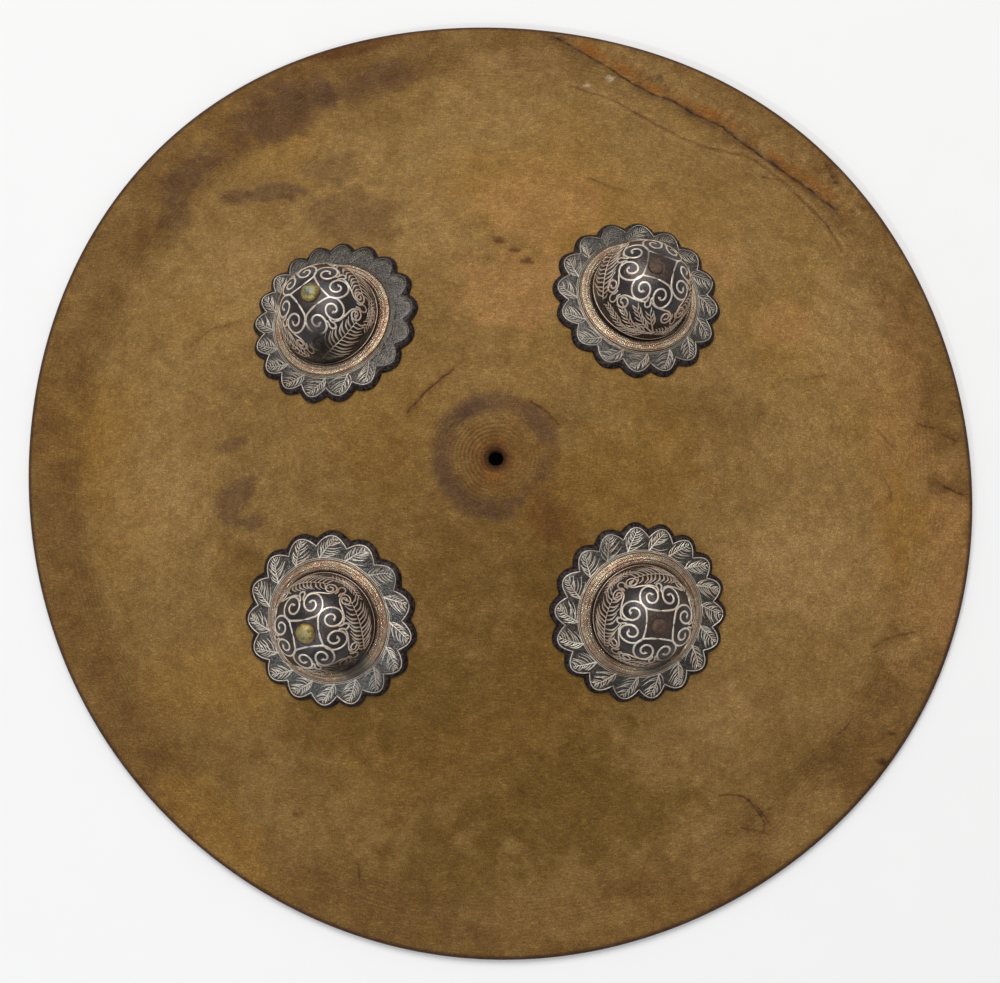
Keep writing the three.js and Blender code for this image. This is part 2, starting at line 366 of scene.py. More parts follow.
# Stains by the pixel of their middle, their half length and half width in millimetres, the turn
# of their length from the photograph's level, their colour and their strength.
STAINS = [
    ((285, 113), 26, 15, 25, VIOLET_BROWN, 0.66),
    ((368, 84), 24, 9, 20, VIOLET_BROWN, 0.5),
    ((330, 168), 14, 8, 0, VIOLET_BROWN, 0.36),
    ((239, 198), 8, 4, 0, VIOLET_BROWN, 0.6),
    ((274, 193), 12, 5, 0, VIOLET_BROWN, 0.6),
    ((352, 216), 24, 11, -15, VIOLET_BROWN, 0.42),
    ((190, 176), 17, 8, 40, VIOLET_BROWN, 0.55),
    ((176, 222), 8, 12, 0, VIOLET_BROWN, 0.4),
    ((232, 444), 7, 3, 10, VIOLET_BROWN, 0.55),
    ((236, 496), 13, 8, 60, VIOLET_BROWN, 0.6),
    ((253, 522), 6, 4, 0, VIOLET_BROWN, 0.6),
    ((250, 556), 7, 3, 0, VIOLET_BROWN, 0.45),
    ((480, 735), 58, 50, 0, OCHRE, 0.62),
    ((585, 800), 50, 28, 10, OCHRE, 0.75),
    ((420, 700), 26, 24, 0, OCHRE, 0.5),
    ((560, 660), 24, 30, 0, OCHRE, 0.45),
    ((560, 580), 24, 20, 0, OCHRE, 0.75),
    ((600, 490), 40, 20, 20, OCHRE, 0.45),
    ((700, 415), 32, 14, 0, OCHRE, 0.45),
    ((685, 160), 38, 20, -20, OCHRE, 0.25),
    ((518, 288), 28, 20, 0, TAN, 0.6),
    ((385, 112), 26, 13, 10, OCHRE, 0.35),
    ((800, 820), 24, 14, 40, PALE_OCHRE, 0.5),
    ((150, 505), 22, 28, 0, PALE_OCHRE, 0.6),
    ((800, 570), 50, 34, 0, PALE_OCHRE, 0.5),
    ((945, 565), 12, 46, 0, TAN, 0.55),
    ((902, 470), 15, 84, 0, TAN, 0.45),
    ((722, 712), 14, 12, 0, PALE_TAN, 0.4),
    ((660, 762), 14, 12, 0, PALE_OCHRE, 0.5),
    ((235, 262), 16, 14, 0, PALE_TAN, 0.3),
    ((800, 565), 34, 20, 0, PALE_TAN, 0.55),
    ((170, 500), 16, 20, 0, PALE_TAN, 0.25),
    ((825, 712), 24, 12, 10, PALE_TAN, 0.2),
    ((560, 912), 44, 10, 0, PALE_OCHRE, 0.4),
    ((490, 570), 36, 24, 0, OCHRE, 0.5),
    ((330, 725), 28, 14, 0, OCHRE, 0.5),
    ((370, 455), 20, 20, 0, OCHRE, 0.35),
    ((715, 855), 16, 14, 0, PALE_OCHRE, 0.5),
    ((522, 62), 24, 8, 0, PALE_TAN, 0.35),
    ((250, 825), 36, 26, 0, PALE_OCHRE, 0.3),
    ((845, 330), 20, 30, 0, PALE_TAN, 0.4),
    ((215, 825), 34, 14, -45, ORANGE_OCHRE, 0.5),
    ((243, 572), 15, 12, 0, OCHRE, 0.55),
    ((450, 868), 28, 15, 0, OCHRE, 0.6),
    ((493, 477), 4.5, 2.8, 0, RUST_ORANGE, 0.4),
    ((558, 522), 15, 9, -40, RED_BROWN, 0.7),
    ((348, 48), 26, 4, 12, RED_BROWN, 0.6),
    ((540, 205), 26, 18, 0, TAN, 0.6),
    ((712, 262), 14, 10, 0, TAN, 0.5),
    ((620, 480), 40, 26, 20, ORANGE_OCHRE, 0.35),
    ((785, 324), 14, 10, 0, TAN, 0.7),
    ((905, 525), 12, 26, 0, ORANGE_OCHRE, 0.6),
    ((655, 82), 13, 4, -28, VIOLET_BROWN, 0.6),
    ((790, 170), 13, 3.5, -45, RUST_ORANGE, 0.8),
    ((499, 241), 3.0, 1.8, 0, RED_BROWN, 0.9),
    ((514, 250), 2.4, 1.4, 0, RED_BROWN, 0.9),
    ((527, 261), 3.0, 1.6, 0, RED_BROWN, 0.9),
    ((834, 177), 6.0, 1.5, -72, CRACK_BROWN, 0.9),
    ((882, 762), 2.5, 1.5, 0, CRACK_BROWN, 0.8),
    ((892, 734), 2.0, 1.4, 0, CRACK_BROWN, 0.7),
    ((588, 85), 1.6, 1.2, 0, WHITE_SPECK, 0.8),
    ((610, 78), 1.6, 1.2, 0, WHITE_SPECK, 0.8),
    ((918, 485), 6, 9, 0, PALE_OCHRE, 0.5),
    ((923, 569), 7, 12, 10, PALE_OCHRE, 0.5),
    ((905, 646), 8, 5, 30, PALE_OCHRE, 0.6),
    ((418, 800), 1.4, 1.0, 0, RED_BROWN, 0.8),
    ((537, 807), 1.2, 1.2, 0, RED_BROWN, 0.8),
    ((522, 790), 1.2, 1.0, 0, RED_BROWN, 0.8),
    ((297, 814), 3.0, 1.0, 0, RED_BROWN, 0.7),
]


def blended(colours, towards, share):
    share = np.clip(share, 0, 1)[:, None]
    return colours * (1 - share) + np.array(towards)[None, :] * share


def hide_colours(x, y):
    r = np.hypot(x, y)
    clouds = uneven(x, y, 55, 11.0, 3)
    mottling = uneven(x, y, 7, 17.0, 5)
    # Painted light: the hide is made lighter towards the top and right, as if lit from there, over its
    # own cloudy and mottled tone.
    tone_and_painted_light = 0.59 + 0.14 * np.clip(y / 125, -1, 1) + 0.08 * np.clip(x / 150, -1, 1)
    tone_and_painted_light += 0.20 * near(r - 155, 45) - 0.12 * near(r, 55)
    tone_and_painted_light += 0.24 * clouds + 0.22 * mottling
    colours = np.tile(np.array(OCHRE), (len(x), 1))
    colours = blended(colours, PALE_OCHRE, tone_and_painted_light)
    colours = blended(colours, ORANGE_OCHRE, 0.9 * uneven(x, y, 80, 23.0, 2))
    band = np.clip((r - 192) / 9, 0, 1)
    browned = 0.60 + 0.35 * mottling + 0.5 * uneven(x, y, 30, 27.0, 2)
    colours = blended(colours, RIM_BROWN, band * browned)
    ragged = 0.45 * uneven(x, y, 10, 29.0, 4) + 0.22 * uneven(x, y, 3.5, 30.0, 3)
    colours = blended(colours, RUST_ORANGE, 0.5 * (0.7 + ragged) * near(r - 7, 4))
    rust_halo = 0.90 * near(r - 2, 5.5) + 0.20 * near(r - 15, 8)
    colours = blended(colours, RED_BROWN, rust_halo)
    colours = blended(colours, CRACK_BROWN, 0.9 * near(r - CROWN_HOLE / 2, 2.2))
    from_ring = np.abs(np.hypot(x, y - RING_STAIN_RISE) - RING_STAIN_RADIUS)
    ring = np.clip(1.6 - from_ring / RING_STAIN_WIDTH + 0.6 * ragged, 0, 1)
    colours = blended(colours, VIOLET_BROWN, ring * (0.74 + 0.4 * uneven(x, y, 18, 21.0, 2)))
    for pixel, length, width, turn, colour, strength in STAINS:
        middle = on_face(*pixel)
        lean = math.radians(turn)
        u = (x - middle[0]) * math.cos(lean) + (y - middle[1]) * math.sin(lean)
        v = -(x - middle[0]) * math.sin(lean) + (y - middle[1]) * math.cos(lean)
        reach = np.hypot(u / length, v / width) + ragged
        share = np.clip(1.35 - reach, 0, 0.7) / 0.7
        colours = blended(colours, colour, strength * share * share * (3 - 2 * share))
    broken = 0.7 + 0.7 * uneven(x, y, 4, 13.0)
    # Each crack is darkened along its line: partly the hide's own dark in the crack, partly painted
    # shade in the cut. The wider red-brown halo is stained hide.
    for line, width, _, darkness in cracks:
        away, _ = distance_to(line, x, y)
        colours = blended(colours, CRACK_BROWN, darkness * broken * near(away, 0.55 * width))
        colours = blended(colours, RED_BROWN, 0.25 * darkness * near(away, 3 * width))
    away, side = distance_to(long_crease, x, y)
    outside = np.where(side < 0, 0, 1)
    fibres = uneven(x, y, 3.5, 43.0, 4)
    colours = blended(colours, PALE_OCHRE, outside * within(away, 15) * (0.45 + 1.2 * fibres))
    rusted = 0.55 + 1.3 * uneven(x, y, 12, 45.0)
    colours = blended(colours, RUST_ORANGE, outside * near(away - 3, 3.2) * rusted)
    bruised = 0.45 + 0.9 * uneven(x, y, 10, 47.0)
    colours = blended(colours, VIOLET_BROWN, near(away, 2.4) * bruised)
    # Both creases are darkened along their lines, here and below: partly dark hide, partly painted
    # shade in the fold.
    colours = blended(colours, CRACK_BROWN, 1.1 * broken * near(away, 0.6))
    away, _ = distance_to(second_crease, x, y)
    colours = blended(colours, CRACK_BROWN, 0.55 * broken * near(away, 0.6))
    # A pale line along the ridge beside the second crease: a painted highlight on that ridge.
    colours = blended(colours, PALE_TAN, 0.5 * broken * near(away - 2.0, 0.8))
    edge = np.clip((turned_radius(x, y) - SHIELD_RADIUS + 2.6) / 2.2, 0, 1)
    return blended(colours, EDGE_BROWN, 0.35 * edge)


def hide_turning(x, y):
    """How plainly the fine lines from turning show: round the hole, and where the rim band starts."""
    r = np.hypot(x, y)
    patchy = np.clip(0.6 + 0.9 * uneven(x, y, 22, 51.0, 2), 0, 1)
    return patchy * (0.75 * near(r - 13, 8) + 0.18 * near(r - 38, 14) + 0.28 * near(r - 203, 12))


def hide_disc():
    grid, quads, rim_start = face_grid()
    places, faces = refined_near_cracks(grid, quads)
    x, y = places[:, 0], places[:, 1]
    heights = face_height(turned_radius(x, y)) + face_relief(x, y)
    points = [np.column_stack([x, y, heights])]
    count = len(points[0])
    colours = [hide_colours(x, y)]
    edge = RIM_THICKNESS / 2
    land_start = SHIELD_RADIUS - edge - RIM_LAND

    def add_ring(r, z, number):
        nonlocal count
        points.append(np.column_stack([shaped_ring(r, number), np.full(number, z)]))
        under = r < SHIELD_RADIUS - RIM_THICKNESS
        colours.append(np.tile(np.array(RIM_BROWN if under else EDGE_BROWN), (number, 1)))
        count += number
        return count - number

    def join(outer, outer_number, inner, inner_number):
        """Joins a ring to the next, which has as many points or half as many."""
        step = outer_number // inner_number
        for i in range(inner_number):
            a = outer + (step * i) % outer_number
            b = outer + (step * i + step) % outer_number
            c, d = inner + i, inner + (i + 1) % inner_number
            if step == 1:
                faces.append((a, c, d, b))
            else:
                middle = outer + step * i + 1
                faces.extend([(a, c, middle), (middle, c, d), (middle, d, b)])

    number = 8 * RIM_RING
    last = rim_start
    for turn in np.linspace(90, -90, 6)[1:]:
        lean = math.radians(turn)
        r = SHIELD_RADIUS - edge + edge * math.cos(lean)
        ring = add_ring(r, edge + edge * math.sin(lean), number)
        join(last, number, ring, number)
        last = ring
    ring = add_ring(land_start, 0, number)
    join(last, number, ring, number)
    last = ring
    for outer_radius, inner_radius, rings in UNDERSIDE_RINGS:
        fewer = number // 2
        for r in np.linspace(outer_radius, inner_radius, rings):
            thickness = HIDE_THICKNESS + (RIM_THICKNESS - HIDE_THICKNESS) * float(band_share(r))
            lean = float(face_angle(r)) if r > CROWN_HOLE else 0
            height = float(face_height(r)) - thickness * math.cos(lean)
            ring = add_ring(r - thickness * math.sin(lean), height, fewer)
            join(last, number, ring, fewer)
            number, last = fewer, ring
    join(last, number, 0, number)
    return np.concatenate(points), faces, np.concatenate(colours)


def new_piece(name, points, faces, material):
    """A smooth piece from points in millimetres, which rides on the shield."""
    mesh = bpy.data.meshes.new(name)
    corners = [list(map(int, face)) for face in faces]
    mesh.from_pydata((np.asarray(points) * MM).tolist(), [], corners)
    mesh.polygons.foreach_set("use_smooth", [True] * len(mesh.polygons))
    mesh.materials.append(material)
    piece = bpy.data.objects.new(name, mesh)
    scene.collection.objects.link(piece)
    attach(piece, "root")
    return piece


def paint(piece, layer, colours):
    """Stores a colour at each point of a piece, for its material to read."""
    attribute = piece.data.color_attributes.new(layer, "FLOAT_COLOR", "POINT")
    opaque = np.column_stack([colours, np.ones(len(colours))])
    attribute.data.foreach_set("color", opaque.astype(np.float32).ravel())


class Finish:
    """A material built from nodes, with short calls for the nodes that the finishes here use."""

    FIRST_COLOUR, SECOND_COLOUR, MIXED_COLOUR = 6, 7, 2  # the colour sockets of a mix node

    def __init__(self, name):
        self.material = bpy.data.materials.new(name)
        self.material.use_nodes = True
        self.nodes = self.material.node_tree.nodes
        self.links = self.material.node_tree.links
        self.shader = self.nodes["Principled BSDF"]
        self.places = self.nodes.new("ShaderNodeTexCoord").outputs["Object"]

    def fill(self, socket, value):
        if isinstance(value, bpy.types.NodeSocket):
            self.links.new(value, socket)
        else:
            socket.default_value = value

    def clouds(self, scale, detail=4.0, roughness=0.6, stretch=None):
        texture = self.nodes.new("ShaderNodeTexNoise")
        texture.inputs["Scale"].default_value = scale
        texture.inputs["Detail"].default_value = detail
        texture.inputs["Roughness"].default_value = roughness
        self.fill(texture.inputs["Vector"], self.stretched(stretch) if stretch else self.places)
        return texture.outputs["Fac"]

    def stretched(self, scale):
        mapping = self.nodes.new("ShaderNodeMapping")
        mapping.inputs["Scale"].default_value = scale
        self.links.new(self.places, mapping.inputs["Vector"])
        return mapping.outputs["Vector"]

    def cells(self, scale):
        texture = self.nodes.new("ShaderNodeTexVoronoi")
        texture.inputs["Scale"].default_value = scale
        self.links.new(self.places, texture.inputs["Vector"])
        return texture.outputs["Distance"]

    def rings(self, scale, distortion):
        texture = self.nodes.new("ShaderNodeTexWave")
        texture.wave_type = "RINGS"
        texture.rings_direction = "Z"
        texture.inputs["Scale"].default_value = scale
        texture.inputs["Distortion"].default_value = distortion
        texture.inputs["Detail"].default_value = 3.0
        texture.inputs["Detail Scale"].default_value = 0.25
        self.links.new(self.places, texture.inputs["Vector"])
        return texture.outputs["Fac"]

    def stored(self, layer):
        attribute = self.nodes.new("ShaderNodeVertexColor")
        attribute.layer_name = layer
        return attribute.outputs["Color"]

    def split(self, layer):
        node = self.nodes.new("ShaderNodeSeparateColor")
        self.links.new(self.stored(layer), node.inputs["Color"])
        return node.outputs

    def streaks(self, distance):
        texture = self.nodes.new("ShaderNodeTexNoise")
        texture.noise_dimensions = "1D"
        texture.inputs["Scale"].default_value = 1.0
        texture.inputs["Detail"].default_value = 4.0
        self.links.new(distance, texture.inputs["W"])
        return texture.outputs["Fac"]

    def levels(self, value, low, high, low_to=0.0, high_to=1.0):
        node = self.nodes.new("ShaderNodeMapRange")
        ends = {"From Min": low, "From Max": high, "To Min": low_to, "To Max": high_to}
        for socket, number in ends.items():
            node.inputs[socket].default_value = number
        self.links.new(value, node.inputs["Value"])
        return node.outputs["Result"]

    def worked_out(self, operation, first, second):
        node = self.nodes.new("ShaderNodeMath")
        node.operation = operation
        self.fill(node.inputs[0], first)
        self.fill(node.inputs[1], second)
        return node.outputs["Value"]

    def sum(self, first, second):
        return self.worked_out("ADD", first, second)

    def product(self, first, second):
        return self.worked_out("MULTIPLY", first, second)

    def mixed(self, share, first, second, way="MIX"):
        node = self.nodes.new("ShaderNodeMix")
        node.data_type = "RGBA"
        node.blend_type = way
        colours = ((self.FIRST_COLOUR, first), (self.SECOND_COLOUR, second))
        for socket, value in (("Factor", share), *colours):
            if isinstance(value, tuple):
                value = (*value, 1.0)
            self.fill(node.inputs[socket], value)
        return node.outputs[self.MIXED_COLOUR]

    def tinted(self, share, colour, tint):
        """A colour multiplied by a tint where the share is one."""
        return self.mixed(share, colour, self.mixed(1.0, colour, tint, "MULTIPLY"))

    def bumped(self, height, strength, distance, under=None):
        node = self.nodes.new("ShaderNodeBump")
        node.inputs["Strength"].default_value = strength
        node.inputs["Distance"].default_value = distance
        self.links.new(height, node.inputs["Height"])
        if under is not None:
            self.links.new(under, node.inputs["Normal"])
        return node.outputs["Normal"]

    def done(self, colour, roughness, metallic, normal, **extra):
        self.fill(self.shader.inputs["Base Color"], colour)
        self.fill(self.shader.inputs["Roughness"], roughness)
        self.fill(self.shader.inputs["Metallic"], metallic)
        self.links.new(normal, self.shader.inputs["Normal"])
        for name, value in extra.items():
            self.shader.inputs[name.replace("_", " ")].default_value = value
        return self.material


def hide_finish():
    finish = Finish("dried_hide")
    grain = finish.clouds(2000, 2.0, 0.8)
    fibres = finish.clouds(900, 3.0, 0.6, (0.35, 1.6, 1.0))
    pores = finish.cells(700)
    flecks = finish.clouds(420, 5.0, 0.75)
    mottling = finish.clouds(110, 6.0, 0.7)
    lines = finish.rings(170, 7.0)
    turning = finish.product(finish.stored("hide_turning"), lines)
    colour = finish.stored("hide_colour")
    colour = finish.tinted(finish.levels(mottling, 0.42, 0.60, 0.0, 0.85), colour, MOTTLE_TINT)
    colour = finish.tinted(finish.levels(flecks, 0.42, 0.64), colour, FLECK_TINT)
    colour = finish.tinted(finish.levels(grain, 0.56, 0.42), colour, GRAIN_TINT)
    colour = finish.tinted(finish.levels(fibres, 0.52, 0.66), colour, FIBRE_TINT)
    colour = finish.tinted(turning, colour, TURNING_TINT)
    normal = finish.bumped(grain, 0.5, 0.0006)
    normal = finish.bumped(pores, 0.2, 0.0008, normal)
    normal = finish.bumped(flecks, 0.3, 0.0012, normal)
    normal = finish.bumped(finish.product(turning, -1.0), 0.5, 0.0006, normal)
    roughness = finish.levels(mottling, 0.3, 0.7, 0.55, 0.72)
    return finish.done(colour, roughness, 0.0, normal, Specular_IOR_Level=0.10)


hide_points, hide_faces, hide_tints = hide_disc()
hide_piece = new_piece("moulded_hide", hide_points, hide_faces, hide_finish())
paint(hide_piece, "hide_colour", hide_tints)
turning = hide_turning(hide_points[:, 0], hide_points[:, 1])
paint(hide_piece, "hide_turning", np.repeat(turning[:, None], 3, 1))
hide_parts("hide_disc")


# Bosses. Each is one forging of iron: a hollow dome, a raised bead round its foot and a flange
# cut into scallops with a filed bevel, dished to sit on the hide. The bead is plated with silver.
FLANGE_THICKNESS = 2.4
BEVEL_WIDTH = 1.8
BEVEL_DROP = 1.5
SCALLOP_DEPTH = 3.2
LINE_INSET = 2.1
LINE_DEPTH = 4.6
BEAD_RADIUS = 25.3
BEAD_WIDTH = 5.0
BEAD_HEIGHT = 1.9
BEAD_FOOT = BEAD_RADIUS + BEAD_WIDTH / 2
DOME_RADIUS = 22.5
DOME_HEIGHT = 30.5
DOME_WALL = 1.8
DOME_FULLNESS = 2.6
SEAT_GAP = 0.3
BORE_RADIUS = 2.5
DENT_SIZE = 9
DENT_DEPTH = 0.12
FADED_EDGE = 14
BOSS_SEGMENTS = 288
FINE_RINGS = [
    (0.1, -0.16), (0.35, -0.02), (0.55, 0.0), (0.8, -0.14), (1.05, -0.02), (1.25, 0.0),
    (1.5, -0.1),
]
LEAFED_GROUND_START = 1.6

# Each boss's place, its size over the scallops and how they were set out, as in the CAD part. Then
# come the turn and shift of its scrollwork, the way that its ferns lean and the quarter that has a
# palm instead of a fern. Last is what is worn: spots rubbed black on the dome and bead as (bearing,
# distance, reach), and stretches of the flange as (bearing, half, strength).
BOSSES = {
    "upper_left": dict(
        bearing=138.3, distance=99.8, across=80, brass=True,
        scallops=18, first=2, drift=6.5, toward=45,
        inlay_turn=37, shift=(-1.0, -0.9), way=1, seed=3,
        worn=[(-86, 19, 5.0)], faded=[(45, 95, 0.85), (330, 35, 0.7), (210, 90, 0.3)],
    ),
    "upper_right": dict(
        bearing=49.9, distance=100.3, across=79.5, brass=False,
        scallops=16, first=18, drift=0, toward=0,
        inlay_turn=-17, shift=(2.2, 0.3), way=1, palm=3, seed=5,
        worn=[(60, 3, 7)], faded=[(112, 32, 0.75), (60, 30, 0.6), (240, 200, 0.4)],
    ),
    "lower_left": dict(
        bearing=-136.8, distance=103.1, across=82, brass=True,
        scallops=16, first=17, drift=5.2, toward=165,
        inlay_turn=9, shift=(0.0, 0.0), way=-1, seed=7,
        worn=[(-60, 24, 8)], faded=[(35, 22, 0.45), (310, 26, 0.5)],
    ),
    "lower_right": dict(
        bearing=-46.6, distance=93.2, across=82.5, brass=False,
        scallops=18, first=-2, drift=3.3, toward=285,
        inlay_turn=-5, shift=(0.5, 0.6), way=1, seed=9,
        worn=[(-70, 22, 8)], faded=[(120, 20, 0.4), (255, 16, 0.4)],
    ),
}
IRON_BLACK = (0.012, 0.009, 0.010)
IRON_BROWN = (0.036, 0.017, 0.012)
IRON_RUST = (0.075, 0.040, 0.020)
FLANGE_GREEN = (0.025, 0.021, 0.015)
FLANGE_GREY = (0.105, 0.092, 0.066)
BORDER_BROWN = (0.075, 0.054, 0.050)
# The border, bevel and side of each flange are near-black: dark filed iron, and painted shade where the
# flange's edge stands over the hide.
BORDER_SHADE_BLACK = (0.008, 0.006, 0.007)
SILVER = (0.80, 0.73, 0.62)
SILVER_PINK = (0.68, 0.44, 0.31)
BEAD_GOLD = (0.74, 0.59, 0.40)
BEAD_COPPER = (0.60, 0.36, 0.23)
TARNISH = (0.12, 0.09, 0.070)


def from_axis(points):
    return np.hypot(points[:, 0], points[:, 1])


def hammered(points, size, start):
    """Unevenness left by the hammer at points, about -1 to 1, with dents of a size."""
    places = [Vector(point) / size + Vector(start) for point in points]
    return np.array([noise.fractal(place, 1, 2, 3) for place in places])


def seat_of(boss):
    lean = float(face_angle(boss["distance"]))
    turn = Matrix.Rotation(math.radians(boss["bearing"]), 4, "Z")
    place = Matrix.Translation((boss["distance"], 0, float(face_height(boss["distance"]))))
    return np.array(turn @ place @ Matrix.Rotation(lean, 4, "Y"))


def face_over_seat(boss, x, y):
    """How far the face lies above the flat of the boss's seat, at points of that flat."""
    lean = float(face_angle(boss["distance"]))
    seat_height = float(face_height(boss["distance"]))
    rise = np.zeros_like(x)
    for _ in range(6):
        out = boss["distance"] + x * math.cos(lean) + rise * math.sin(lean)
        height = seat_height - x * math.sin(lean) + rise * math.cos(lean)
        rise = rise - (height - face_height(np.hypot(out, y))) * math.cos(lean)
    return rise


def seated(boss, points):
    """Points of a boss's own frame, laid on the face and set in the shield's frame."""
    points = np.array(points, dtype=float)
    points[:, 2] += face_over_seat(boss, points[:, 0], points[:, 1]) + SEAT_GAP
    seat = seat_of(boss)
    return points @ seat[:3, :3].T + seat[:3, 3]


def scallop_turn(boss, even):
    """The bearing, in the boss's own frame, of a point that even spacing would put at even."""
    first = math.radians(boss["first"] - boss["bearing"])
    toward = math.radians(boss["toward"] - boss["bearing"])
    return even + first + math.radians(boss["drift"]) * np.cos(even + first - toward)


def scallop_edge(boss, even, inset=0.0, depth=SCALLOP_DEPTH):
    notch = 1 - np.abs(np.cos(boss["scallops"] * even / 2))
    return boss["across"] / 2 - inset - depth * notch


def silver_line(boss, even):
    return scallop_edge(boss, even, LINE_INSET, LINE_DEPTH)


def dome_point(foot_radius, foot_height, top_height, turn):
    across = foot_radius * np.cos(turn) ** (2 / DOME_FULLNESS)
    return across, foot_height + (top_height - foot_height) * np.sin(turn) ** (2 / DOME_FULLNESS)


def boss_profile():
    """Stations from the bore over the dome, bead and flange to the edge and back underneath.

    Each is (where, distance, height, how silvered): on the dome or bead the distance is from the
    axis, on the leafed ground and the border it is a share, and at the edge it is an inset."""
    stations_out = [("turned", BORE_RADIUS, DOME_HEIGHT - 0.3, 0)]
    for lean in list(np.linspace(86, 8, 28)) + [4, 1.5, 0.5]:
        across, height = dome_point(DOME_RADIUS, FLANGE_THICKNESS, DOME_HEIGHT, math.radians(lean))
        stations_out.append(("turned", across, height, 0))
    stations_out.append(("turned", DOME_RADIUS + 0.12, FLANGE_THICKNESS - 0.2, 0))
    for lean in np.linspace(172, 8, 13):
        turn = math.radians(lean)
        across = BEAD_RADIUS + BEAD_WIDTH / 2 * math.cos(turn)
        stations_out.append(("turned", across, FLANGE_THICKNESS + BEAD_HEIGHT * math.sin(turn), 1))
    for away, dip in FINE_RINGS:
        stations_out.append(("turned", BEAD_FOOT + away, FLANGE_THICKNESS + dip, 0.12))
    for share in (0.03, 0.25, 0.5, 0.75, 1.0):
        stations_out.append(("ground", share, FLANGE_THICKNESS, 0))
    for share in (0.08, 0.55, 1.0):
        stations_out.append(("border", share, FLANGE_THICKNESS - 0.05, 0))
    stations_out.append(("edge", BEVEL_WIDTH * 0.7, FLANGE_THICKNESS - 0.35, 0))
    stations_out.append(("edge", BEVEL_WIDTH * 0.35, FLANGE_THICKNESS - 0.95, 0))
    stations_out.append(("edge", 0.1, FLANGE_THICKNESS - BEVEL_DROP, 0))
    stations_out.append(("edge", 0.0, FLANGE_THICKNESS - BEVEL_DROP - 0.2, 0))
    stations_out.append(("edge", 0.0, 0.15, 0))
    stations_out.append(("edge", 0.25, 0.0, 0))
    stations_out.append(("turned", DOME_RADIUS + 3, 0, 0))
    for lean in (0, 20, 40, 60, 78):
        inside = dome_point(DOME_RADIUS - DOME_WALL, 0, DOME_HEIGHT - DOME_WALL, math.radians(lean))
        stations_out.append(("turned", *inside, 0))
    stations_out.append(("turned", BORE_RADIUS, DOME_HEIGHT - DOME_WALL, 0))
    return stations_out


def boss_mesh(boss):
    even = 2 * np.pi * np.arange(BOSS_SEGMENTS) / BOSS_SEGMENTS
    turn = scallop_turn(boss, even)
    inner = BEAD_FOOT + LEAFED_GROUND_START
    line = silver_line(boss, even)
    rings = []
    silvered = []
    bordered = []
    for where, distance, height, silver in boss_profile():
        if where == "ground":
            r = inner + (line - inner) * distance
        elif where == "border":
            r = line + (scallop_edge(boss, even, BEVEL_WIDTH) - line) * distance
        elif where == "edge":
            r = scallop_edge(boss, even, distance)
        else:
            r = np.full(BOSS_SEGMENTS, distance)
        heights = np.full(BOSS_SEGMENTS, height)
        rings.append(np.column_stack([r * np.cos(turn), r * np.sin(turn), heights]))
        silvered.append(np.full(BOSS_SEGMENTS, silver))
        bordered.append(np.full(BOSS_SEGMENTS, where in ("border", "edge")) * 1.0)
    points = np.concatenate(rings)
    dents = hammered(points, DENT_SIZE, (boss["seed"], 0, 0))
    points[:, 2] += DENT_DEPTH * dents * (points[:, 2] > 0.5)
    faces = []
    for ring in range(len(rings)):
        after = (ring + 1) % len(rings)
        for i in range(BOSS_SEGMENTS):
            j = (i + 1) % BOSS_SEGMENTS
            a, b = ring * BOSS_SEGMENTS, after * BOSS_SEGMENTS
            faces.append((a + i, b + i, b + j, a + j))
    return points, faces, np.concatenate(silvered), np.concatenate(bordered)


def wear_at(boss, points):
    """How worn or blackened a boss is at points of its own frame, from 0 to 1."""
    worn = np.zeros(len(points))
    own_bearing = math.radians(boss["bearing"])
    away = from_axis(points)
    for bearing, distance, reach in boss["worn"]:
        lean = math.radians(bearing) - own_bearing
        middle = np.array([[distance * math.cos(lean), distance * math.sin(lean)]])
        gone = from_axis(points[:, :2] - middle)
        worn = np.maximum(worn, np.clip(1.5 - gone / reach, 0, 1) * (away < BEAD_FOOT))
    turn = np.degrees(np.arctan2(points[:, 1], points[:, 0]) + own_bearing)
    for bearing, half, strength in boss["faded"]:
        from_middle = np.abs((turn - bearing + 180) % 360 - 180)
        faded = strength * np.clip((half - from_middle) / FADED_EDGE, 0, 1)
        worn = np.maximum(worn, faded * (away > BEAD_FOOT))
    return worn


